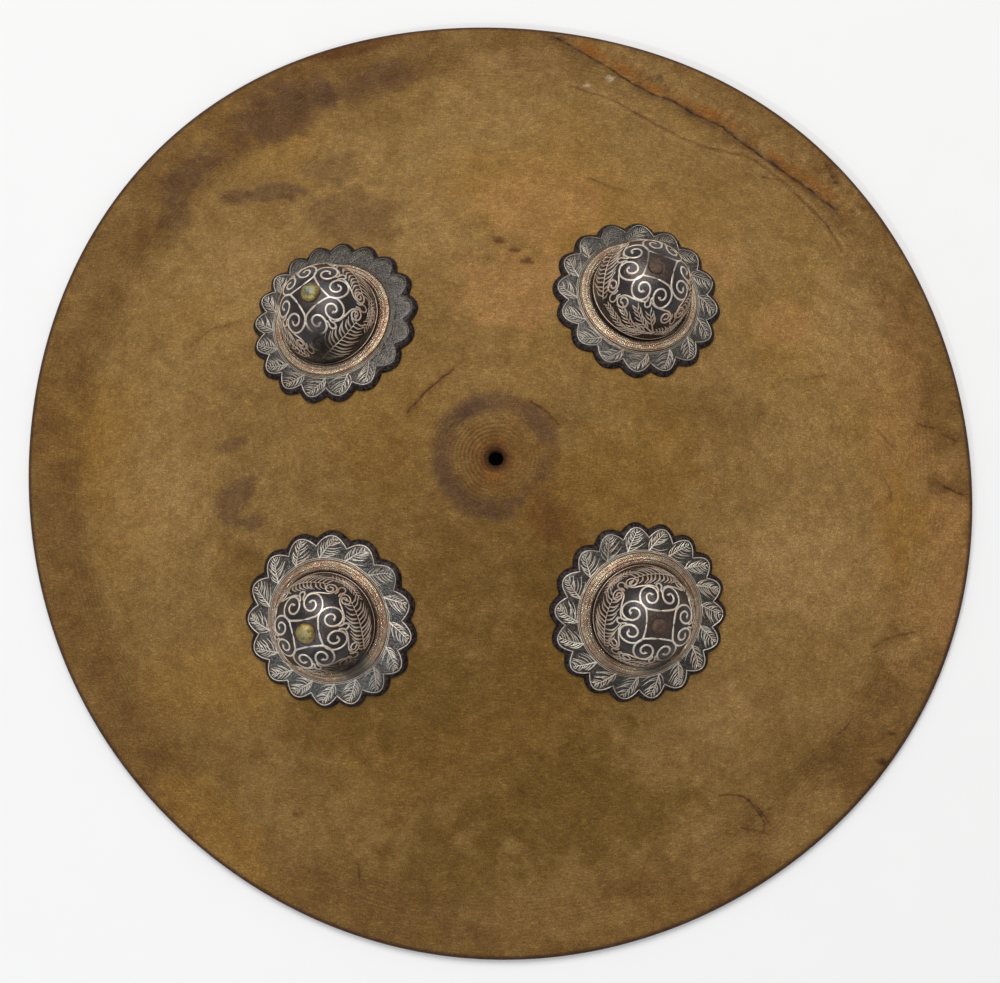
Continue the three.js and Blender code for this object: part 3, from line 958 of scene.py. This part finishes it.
def iron_finish():
    finish = Finish("hatched_iron")
    marks = finish.split("boss_marks")
    ground = finish.split("boss_ground")
    silvered, worn, flange = marks["Red"], marks["Green"], marks["Blue"]
    border, rust, away = ground["Red"], ground["Green"], ground["Blue"]
    patina = finish.clouds(160, 5.0, 0.7)
    fine = finish.clouds(900, 4.0, 0.7)
    hatch = finish.clouds(600, 2.0, 0.5, (1.0, 4.0, 1.0))
    cross_hatch = finish.clouds(600, 2.0, 0.5, (4.0, 1.0, 1.0))
    streaks = finish.streaks(finish.sum(finish.product(away, 130.0), patina))
    iron = finish.mixed(finish.levels(patina, 0.44, 0.66), IRON_BLACK, IRON_BROWN)
    worked = finish.mixed(finish.levels(fine, 0.45, 0.57), FLANGE_GREEN, FLANGE_GREY)
    iron = finish.mixed(finish.product(flange, finish.levels(hatch, 0.35, 0.60)), iron, worked)
    # Border, bevel and side: dark iron mottled with brown, made near-black partly as painted shade at
    # the flange's edge.
    filed = finish.mixed(finish.levels(fine, 0.44, 0.60), BORDER_SHADE_BLACK, BORDER_BROWN)
    iron = finish.mixed(border, iron, filed)
    iron = finish.mixed(finish.product(rust, finish.levels(fine, 0.35, 0.55)), iron, IRON_RUST)
    silver = finish.mixed(finish.levels(patina, 0.44, 0.60), BEAD_GOLD, BEAD_COPPER)
    silver = finish.mixed(finish.levels(streaks, 0.46, 0.64, 0.0, 0.85), silver, TARNISH)
    silver = finish.mixed(finish.levels(fine, 0.52, 0.68, 0.0, 0.7), silver, TARNISH)
    rubbed = finish.product(silvered, finish.levels(worn, 0.0, 1.0, 1.0, 0.15))
    colour = finish.mixed(rubbed, iron, silver)
    metallic = finish.levels(rubbed, 0.0, 1.0, 0.30, 0.95)
    metallic = finish.sum(metallic, finish.levels(border, 0, 1, 0, 0.6))
    roughness = finish.levels(fine, 0.3, 0.7, 0.13, 0.30)
    roughness = finish.sum(roughness, finish.levels(border, 0, 1, 0, 0.35))
    normal = finish.bumped(finish.sum(hatch, cross_hatch), 0.3, 0.0006)
    normal = finish.bumped(finish.product(streaks, silvered), 0.8, 0.0006, normal)
    normal = finish.bumped(fine, 0.15, 0.0004, normal)
    return finish.done(colour, roughness, metallic, normal, Specular_IOR_Level=0.8)


iron = iron_finish()
for side, boss in BOSSES.items():
    points, faces, silvered, bordered = boss_mesh(boss)
    away = from_axis(points)
    rust_reach, rust_strength = (4.5, 0.4) if boss["brass"] else (7.0, 0.9)
    rusted = np.clip(1.5 - away / rust_reach, 0, 1) * rust_strength
    piece = new_piece("iron_boss_" + side, seated(boss, points), faces, iron)
    on_flange = (away > BEAD_FOOT) * 1.0
    paint(piece, "boss_marks", np.column_stack([silvered, wear_at(boss, points), on_flange]))
    paint(piece, "boss_ground", np.column_stack([bordered, rusted, away / boss["across"] * 2]))
    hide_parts("boss_" + side)


# Silver inlay. Fine silver wire beaten into the hatched iron, just proud of it: four pairs of
# volutes on a small square round the rivet, stems with lesser volutes at its corners, ferns at the
# foot of the dome, and the outline and a leaf of each scallop.
WIRE_RISE = 0.14
WIRE_SINK = 0.12
BOLD_WIRE = 1.0
STEM_WIRE = 0.9
BUD_WIRE = 0.8
LINE_WIRE = 0.5
RING_WIRE = 0.3
LEAF_WIRE = 0.58
LEAF_SPACING = 1.3
LEAF_LENGTHS = ((1, 10.0), (-1, 6.0))
SHORTEST_STROKE = 0.7
BEAD_LINES = (0.45, 1.15)
FOOT_LINE_RISE = 1.6
RING_STEPS = 96
SQUARE_REACH = 6.6
BRACKET_STRETCH = 1.15
VOLUTE_EASING = 1.9
DOME_STEPS = 240

# The design of one side, laid out flat round the rivet. The bracket and its bud are drawn up from
# the square, and the stem out along its corner. Ribs are (bearing, distance from the rivet).
BRACKET = [(-0.1, -0.35), (1.6, -0.3), (3.2, -0.2)]
VOLUTE = dict(middle=(4.75, 5.3), start_radius=5.3, end_radius=0.9, start=-90, sweep=600, steps=50)
BUD = [
    (-1.3, 6.7), (-0.7, 7.8), (-0.95, 9.0), (-1.4, 10.1), (-0.9, 11.1), (0, 11.5),
    (0.9, 11.1), (1.4, 10.1), (0.95, 9.0), (0.7, 7.8), (1.3, 6.7),
]
STEM = [(12.9, 11.3), (15.8, 10.0), (18.6, 6.8), (21.2, 3.2), (24.6, 1.9)]
STEM_VOLUTE = dict(middle=(23.7, 5.1), start_radius=3.4, end_radius=0.8, start=-72, sweep=500, steps=34)
CORNER_BUD = [
    (22.8, 1.2), (25.0, 0.9), (26.4, 1.9), (28.6, 1.7), (29.8, 0), (28.6, -1.7), (26.4, -1.9),
    (25.0, -0.9), (22.8, -1.2),
]
FERN_RIB = [(-0.66, 34.0), (-0.34, 28.5), (0.05, 26.2), (0.50, 26.6)]
SHORT_FERN_RIB = [(0.98, 35.6), (0.72, 34.6), (0.42, 33.4)]
FERN_REACHES = (11.0, 14.5)
FERN_SPACING = 2.6
SHORT_FERN = dict(inward=5.5, outward=5.5, spacing=2.4)
PALM_LEAF = dict(inward=7.5, outward=7.0, spacing=2.7, spread=36, bare=6.0)
PALM_ROOT = (0.42, 35.5)
PALM_RIBS = [(-0.74, 33, 37), (-0.50, 27, 33), (-0.20, 22.5, 29), (0.14, 22, 28)]

dome_turns = np.linspace(np.pi / 2, 0, DOME_STEPS)
dome_across, dome_heights = dome_point(DOME_RADIUS, FLANGE_THICKNESS, DOME_HEIGHT, dome_turns)
dome_arcs = np.append(0, np.cumsum(np.hypot(np.diff(dome_across), np.diff(dome_heights))))


def dome_place(across, up):
    """A place of the design, laid out flat round the rivet, on the dome of a boss."""
    away = np.hypot(across, up)
    r = np.interp(away, dome_arcs, dome_across)
    height = np.interp(away, dome_arcs, dome_heights)
    bearing = np.arctan2(up, across)
    tall = DOME_HEIGHT - FLANGE_THICKNESS
    slope = (r / DOME_RADIUS) ** (DOME_FULLNESS - 1) / DOME_RADIUS
    rise = (np.clip(height - FLANGE_THICKNESS, 0, tall) / tall) ** (DOME_FULLNESS - 1) / tall
    upward = np.stack([slope * np.cos(bearing), slope * np.sin(bearing), rise], -1)
    return np.stack([r * np.cos(bearing), r * np.sin(bearing), height], -1), upward


def flange_place(r, bearing):
    upward = np.stack([np.zeros_like(r), np.zeros_like(r), np.ones_like(r)], -1)
    level = np.full_like(r, FLANGE_THICKNESS)
    return np.stack([r * np.cos(bearing), r * np.sin(bearing), level], -1), upward


class Wires:
    """Gathers the wires of one boss into one mesh."""

    def __init__(self, shift):
        self.points = []
        self.faces = []
        self.count = 0
        self.shift = shift

    def add(self, line, upward, width, ends=(0.15, 0.15), tip=0.25):
        """A wire of lens section along a line, given the surface's outward directions.

        Its width eases to a share of itself, the tip, over a share of its length at each end."""
        line = np.asarray(line, dtype=float)
        upward = upward / np.linalg.norm(upward, axis=1)[:, None]
        ahead = np.gradient(line, axis=0)
        ahead /= np.linalg.norm(ahead, axis=1)[:, None] + 1e-9
        side = np.cross(upward, ahead)
        side /= np.linalg.norm(side, axis=1)[:, None] + 1e-9
        share = np.linspace(0, 1, len(line))
        from_start = np.clip(share / max(ends[0], 1e-6), 0, 1)
        from_end = np.clip((1 - share) / max(ends[1], 1e-6), 0, 1)
        taper = (0.3 + 0.7 * from_start) * (tip + (1 - tip) * from_end)
        half = (width / 2 * taper)[:, None]
        rise = WIRE_RISE * np.sqrt(taper)[:, None]
        section = [
            line - side * half - upward * 0.02,
            line - side * half * 0.45 + upward * rise,
            line + side * half * 0.45 + upward * rise,
            line + side * half - upward * 0.02,
            line - upward * WIRE_SINK,
        ]
        corners = len(section)
        self.points.append(np.stack(section, 1).reshape(-1, 3))
        for i in range(len(line) - 1):
            for k in range(corners):
                a = self.count + i * corners + k
                b = self.count + i * corners + (k + 1) % corners
                self.faces.append((a, b, b + corners, a + corners))
        last = self.count + (len(line) - 1) * corners
        self.faces.append(tuple(range(self.count + corners - 1, self.count - 1, -1)))
        self.faces.append(tuple(range(last, last + corners)))
        self.count += corners * len(line)

    def on_dome(self, line, width, turn, **more):
        line = np.asarray(line, dtype=float)
        across = line[:, 0] * math.cos(turn) - line[:, 1] * math.sin(turn)
        up = line[:, 0] * math.sin(turn) + line[:, 1] * math.cos(turn)
        shift_across, shift_up = self.shift
        self.add(*dome_place(across + shift_across, up + shift_up), width, **more)


def volute(middle, start_radius, end_radius, start, sweep, steps):
    share = np.linspace(0, 1, steps)
    radius = start_radius * (end_radius / start_radius) ** (share ** VOLUTE_EASING)
    turn = np.radians(start + sweep * share)
    return np.stack([middle[0] + radius * np.cos(turn), middle[1] + radius * np.sin(turn)], -1)


def barb(foot, ahead, hand, length, spread):
    """A stroke that leaves a rib to one hand and bends forward."""
    left = np.array([-ahead[1], ahead[0]]) * hand
    out = ahead * math.cos(spread) + left * math.sin(spread)
    bent = ahead * math.cos(0.5 * spread) + left * math.sin(0.5 * spread)
    return curved([foot, foot + out * 0.5 * length, foot + out * 0.5 * length + bent * 0.5 * length], 3)


def polar(stops, way):
    """A smooth line of the design through (bearing, distance from the rivet) stops."""
    turns = [(bearing * way, away) for bearing, away in stops]
    points = [(away * math.cos(turn), away * math.sin(turn)) for turn, away in turns]
    return curved(points, 8)


def along_rib(rib, spacing, first):
    """Places along a rib, each with the way ahead there and the share of the rib that is gone."""
    gone = np.append(0, np.cumsum(np.linalg.norm(np.diff(rib, axis=0), axis=1)))
    for at in np.arange(first, gone[-1] - 0.3, spacing):
        foot = np.array([np.interp(at, gone, rib[:, 0]), np.interp(at, gone, rib[:, 1])])
        after = np.array([np.interp(at + 0.3, gone, rib[:, 0]), np.interp(at + 0.3, gone, rib[:, 1])])
        ahead = (after - foot) / (np.linalg.norm(after - foot) + 1e-9)
        yield foot, ahead, at / gone[-1]


def fern(wires, rib, turn, rng, inward, outward, spacing, spread=68, bare=0.0):
    """A rib, bare at its foot, with curved strokes to both sides, shorter towards its ends."""
    wires.on_dome(rib, STEM_WIRE, turn, ends=(0.05, 0.8))
    for hand, longest in ((1, inward), (-1, outward)):
        for foot, ahead, share in along_rib(rib, spacing, bare + spacing * (0.6 + 0.25 * hand)):
            fullness = (0.45 + 0.55 * min(1, 4 * share)) * (1 - 0.55 * share ** 2)
            length = longest * fullness * rng.uniform(0.85, 1.1)
            stroke = barb(foot, ahead, hand, length, math.radians(spread + rng.uniform(-7, 7)))
            wires.on_dome(stroke, 0.75 + 0.045 * length, turn, ends=(0.5, 0.6), tip=0.15)


def dome_inlay(wires, boss, rng):
    """The scrollwork round the rivet, the same to each of four sides, drawn a little unevenly."""
    turn = math.radians(boss["inlay_turn"] - boss["bearing"])
    for quarter in range(4):
        side_turn = turn + quarter * math.pi / 2 + math.radians(rng.uniform(-2.5, 2.5))
        reach = SQUARE_REACH * rng.uniform(0.96, 1.04)
        size = rng.uniform(0.97, 1.04)

        def placed(line):
            line = np.asarray(line, dtype=float) * size
            return np.stack([reach + BRACKET_STRETCH * line[:, 1], -line[:, 0]], -1)

        for hand in (-1, 1):
            line = np.concatenate([BRACKET, volute(**VOLUTE)])
            line[:, 0] *= hand
            wires.on_dome(placed(line), BOLD_WIRE, side_turn, ends=(0.0, 0.07), tip=1.9)
        wires.on_dome(placed(curved(BUD, 3)), STEM_WIRE, side_turn, ends=(0.05, 0.05), tip=0.6)

        corner_turn = side_turn + math.pi / 4
        for hand in (-1, 1):
            line = np.concatenate([curved(STEM, 5)[:-1], volute(**STEM_VOLUTE)])
            line[:, 1] *= hand
            wires.on_dome(line, STEM_WIRE, corner_turn, ends=(0.08, 0.08), tip=1.9)
        wires.on_dome(curved(CORNER_BUD, 3), BUD_WIRE, corner_turn, ends=(0.05, 0.05), tip=0.6)

        way = boss["way"] * (1 if quarter % 2 else -1)
        if boss.get("palm") == quarter:
            for bearing, reached, bend in PALM_RIBS:
                root_bearing, root_reach = PALM_ROOT
                middle = (0.5 * (bearing + root_bearing), bend)
                rib = polar([(root_bearing, root_reach), middle, (bearing, reached)], 1)
                fern(wires, rib, side_turn, rng, **PALM_LEAF)
        else:
            inward, outward = FERN_REACHES if way > 0 else FERN_REACHES[::-1]
            fern(wires, polar(FERN_RIB, way), side_turn, rng, inward, outward, FERN_SPACING)
        fern(wires, polar(SHORT_FERN_RIB, way), side_turn, rng, **SHORT_FERN)
    turns = np.linspace(0, 2 * np.pi, RING_STEPS + 1)
    foot_line = dome_arcs[-1] - FOOT_LINE_RISE
    foot_ring = np.stack([foot_line * np.cos(turns), foot_line * np.sin(turns)], -1)
    wires.on_dome(foot_ring, LINE_WIRE, 0, ends=(0, 0))


def flange_inlay(wires, boss, rng):
    """A line round the scallops inside the border, a leaning leaf in each, and rings at the bead."""
    even = np.linspace(0, 2 * np.pi, boss["scallops"] * 14 + 1)
    wires.add(*flange_place(silver_line(boss, even), scallop_turn(boss, even)), LINE_WIRE, ends=(0, 0))
    turns = np.linspace(0, 2 * np.pi, RING_STEPS + 1)
    for away in BEAD_LINES:
        wires.add(*flange_place(np.full_like(turns, BEAD_FOOT + away), turns), RING_WIRE, ends=(0, 0))
    pitch = 2 * np.pi / boss["scallops"]
    around = (BEAD_FOOT + boss["across"] / 2) / 2
    for number in range(boss["scallops"]):
        middle = number * pitch

        def laid(line):
            return flange_place(line[:, 1], scallop_turn(boss, middle + line[:, 0] / around))

        def inside(point):
            even = middle + point[0] / around
            beside = abs(point[0]) < 0.5 * pitch * around + 1.2
            return beside and BEAD_FOOT + 0.9 < point[1] < silver_line(boss, even) - 0.35

        root = (pitch * around * 0.46, BEAD_FOOT + 0.8)
        bend = (pitch * around * 0.30, BEAD_FOOT + 3.2)
        tip = (-pitch * around * rng.uniform(0.02, 0.14), boss["across"] / 2 - LINE_INSET - 1.2)
        rib = curved([root, bend, tip], 8)
        wires.add(*laid(rib), BOLD_WIRE, ends=(0.05, 0.9))
        for hand, longest in LEAF_LENGTHS:
            for foot, ahead, share in along_rib(rib, LEAF_SPACING, 0.6 + 0.3 * hand):
                length = longest * (1 - 0.6 * share) * rng.uniform(0.75, 1.1)
                spread = math.radians(rng.uniform(34, 60))
                stroke = barb(foot, ahead, hand, length, spread)
                while length > SHORTEST_STROKE and not inside(stroke[-1]):
                    length *= 0.88
                    stroke = barb(foot, ahead, hand, length, spread)
                if length > SHORTEST_STROKE:
                    wires.add(*laid(stroke), LEAF_WIRE, ends=(0.4, 0.6), tip=0.15)


def silver_finish():
    finish = Finish("beaten_silver")
    marks = finish.split("wire_marks")
    patches = finish.clouds(140, 4.0, 0.65)
    fine = finish.clouds(1100, 3.0, 0.7)
    silver = finish.mixed(finish.levels(patches, 0.42, 0.66, 0.0, 0.6), SILVER, SILVER_PINK)
    silver = finish.mixed(finish.product(marks["Green"], 0.7), silver, SILVER_PINK)
    colour = finish.mixed(finish.levels(fine, 0.50, 0.72, 0.0, 0.45), silver, TARNISH)
    colour = finish.mixed(marks["Red"], colour, FLANGE_GREEN)
    normal = finish.bumped(fine, 0.3, 0.0003)
    return finish.done(colour, finish.levels(fine, 0.3, 0.7, 0.22, 0.42), 0.65, normal)


beaten_silver = silver_finish()
for side, boss in BOSSES.items():
    rng = random.Random(boss["seed"])
    own_turn = Matrix.Rotation(-math.radians(boss["bearing"]), 2)
    wires = Wires(own_turn @ Vector(boss["shift"]))
    dome_inlay(wires, boss, rng)
    flange_inlay(wires, boss, rng)
    points = np.concatenate(wires.points)
    on_dome = from_axis(points) < DOME_RADIUS + 1
    low = np.clip(1 - points[:, 2] / DOME_HEIGHT, 0, 1) * on_dome
    marks = np.column_stack([wear_at(boss, points), 0.8 * low, np.zeros(len(points))])
    piece = new_piece("silver_inlay_" + side, seated(boss, points), wires.faces, beaten_silver)
    paint(piece, "wire_marks", marks)


# Rivets. They hold the bosses through the hide and are peened over behind it. Two have proud
# brass heads, the other two are iron, filed nearly flush with the dome and rusted.
SHANK_RADIUS = 2.2
BRASS_HEAD = (4.5, 2.4)
IRON_HEAD = (3.5, 0.9)
TAIL_RADIUS = 4.75
TAIL_HEIGHT = 2.2
HEAD_SINK = 0.55
RIVET_SEGMENTS = 64
BUMP_SIZE = 1.7
BRASS_ROUGHNESS = 0.10
IRON_ROUGHNESS = 0.40
BRASS = (0.44, 0.33, 0.115)
BRASS_DARK = (0.055, 0.042, 0.018)
VERDIGRIS = (0.30, 0.34, 0.26)
RUST = (0.088, 0.047, 0.025)
RUST_DARK = (0.036, 0.020, 0.013)
FULL_BLOOM = 0.9
THIN_BLOOM = 0.35


def rivet_mesh(boss, seed):
    head_radius, head_height = BRASS_HEAD if boss["brass"] else IRON_HEAD
    head_foot = DOME_HEIGHT + 2 * SEAT_GAP - HEAD_SINK
    tail_top = -HIDE_THICKNESS - SEAT_GAP
    tail_end = tail_top - TAIL_HEIGHT
    profile = [(0.0, tail_end)]
    for lean in np.linspace(90, 0, 7)[1:]:
        turn = math.radians(lean)
        across = TAIL_RADIUS * (0.62 + 0.38 * math.cos(turn))
        profile.append((across, tail_top - TAIL_HEIGHT * (0.25 + 0.75 * math.sin(turn))))
    profile += [(TAIL_RADIUS, tail_top), (SHANK_RADIUS, tail_top)]
    profile += [(SHANK_RADIUS, head_foot), (head_radius * 0.97, head_foot)]
    for lean in np.linspace(0, 90, 12)[:-1]:
        turn = math.radians(lean)
        height = head_foot + 0.35 + (head_height + 0.2) * math.sin(turn)
        profile.append((head_radius * math.cos(turn) ** 0.8, height))
    profile.append((0.0, head_foot + HEAD_SINK + head_height))
    turns = 2 * np.pi * np.arange(RIVET_SEGMENTS) / RIVET_SEGMENTS
    points = [(0.0, 0.0, profile[0][1])]
    for r, z in profile[1:-1]:
        points += [(r * math.cos(turn), r * math.sin(turn), z) for turn in turns]
    points.append((0.0, 0.0, profile[-1][1]))
    points = np.array(points)
    rough = BRASS_ROUGHNESS if boss["brass"] else IRON_ROUGHNESS
    bumps = hammered(points, BUMP_SIZE, (seed, seed, 0))
    points[:, 2] += rough * bumps * (np.abs(points[:, 2] - head_foot) > 0.3)
    points[:, 0] *= 1 + 0.05 * bumps
    faces = []
    ring_count = len(profile) - 2
    for i in range(RIVET_SEGMENTS):
        j = (i + 1) % RIVET_SEGMENTS
        faces.append((0, 1 + j, 1 + i))
        for ring in range(ring_count - 1):
            a, b = 1 + ring * RIVET_SEGMENTS, 1 + (ring + 1) * RIVET_SEGMENTS
            faces.append((a + i, a + j, b + j, b + i))
        top = 1 + (ring_count - 1) * RIVET_SEGMENTS
        faces.append((top + i, top + j, len(points) - 1))
    return points, faces


def rivet_finish(name, bright, dull, bloom, metallic):
    finish = Finish(name)
    bloomed = finish.stored("rivet_bloom")
    patches = finish.clouds(420, 4.0, 0.65)
    fine = finish.clouds(1400, 4.0, 0.75)
    colour = finish.mixed(bloomed, bright, bloom)
    colour = finish.mixed(finish.levels(patches, 0.44, 0.60, 0.0, 0.7), colour, dull)
    colour = finish.mixed(finish.levels(fine, 0.50, 0.66, 0.0, 0.45), colour, dull)
    normal = finish.bumped(patches, 0.5, 0.0008)
    normal = finish.bumped(fine, 0.4, 0.0004, normal)
    return finish.done(colour, finish.levels(fine, 0.3, 0.7, 0.38, 0.62), metallic, normal)


brass = rivet_finish("dull_brass", BRASS, BRASS_DARK, VERDIGRIS, 0.85)
rusty_iron = rivet_finish("rusty_iron", RUST, RUST_DARK, RUST, 0.25)
for side, boss in BOSSES.items():
    points, faces = rivet_mesh(boss, boss["seed"])
    seat = seat_of(boss)
    placed_points = points @ seat[:3, :3].T + seat[:3, 3]
    metal = brass if boss["brass"] else rusty_iron
    piece = new_piece("peened_rivet_" + side, placed_points, faces, metal)
    closeness = np.clip(1.5 - from_axis(points) / SHANK_RADIUS, 0, 1)
    bloom = closeness * (FULL_BLOOM if side == "upper_left" else THIN_BLOOM)
    paint(piece, "rivet_bloom", np.repeat(bloom[:, None], 3, 1))
    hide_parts("rivet_" + side)


# Studio. A plain pale floor that the shield lies on, and soft light mostly from beyond the
# shield's upper edge, with a light overhead and a small cool one low at the left for the domes.
FLOOR_SIZE = 8.0
FLOOR_TINT = (0.846, 0.838, 0.828)
FLOOR_PALER = (0.854, 0.846, 0.836)
WORLD_TINT = (0.985, 0.98, 0.985, 1)
WORLD_STRENGTH = 0.40
LIGHTS = {
    "window": dict(place=(-0.30, 2.1, 3.4), size=(2.6, 1.9), power=88, tint=(1, 1, 1)),
    "overhead": dict(place=(0.0, 0.1, 2.2), size=(0.7, 0.5), power=9, tint=(1, 1, 1)),
    "low_window": dict(
        place=(-0.9, -1.15, 1.40), size=(0.22, 0.16), power=6.5, tint=(0.82, 0.91, 1.0),
    ),
}


def studio_floor():
    finish = Finish("pale_floor")
    speckle = finish.clouds(40, 3.0, 0.5)
    colour = finish.mixed(finish.levels(speckle, 0.3, 0.7), FLOOR_TINT, FLOOR_PALER)
    material = finish.done(colour, 0.9, 0.0, finish.bumped(speckle, 0.02, 0.001))
    half = FLOOR_SIZE / 2
    mesh = bpy.data.meshes.new("floor")
    corners = [(-half, -half, 0), (half, -half, 0), (half, half, 0), (-half, half, 0)]
    mesh.from_pydata(corners, [], [(0, 1, 2, 3)])
    mesh.materials.append(material)
    floor = bpy.data.objects.new("floor", mesh)
    scene.collection.objects.link(floor)
    return floor


def soft_light(name, place, size, power, tint):
    data = bpy.data.lights.new(name, "AREA")
    data.shape = "RECTANGLE"
    data.size, data.size_y = size
    data.energy = power
    data.color = tint
    light = bpy.data.objects.new(name, data)
    light.location = place
    light.rotation_euler = (-Vector(place)).to_track_quat("-Z", "Y").to_euler()
    scene.collection.objects.link(light)


studio_floor()
for name, light in LIGHTS.items():
    soft_light(name, **light)
world = bpy.data.worlds.new("studio")
world.use_nodes = True
background = world.node_tree.nodes["Background"]
background.inputs["Color"].default_value = WORLD_TINT
background.inputs["Strength"].default_value = WORLD_STRENGTH
scene.world = world
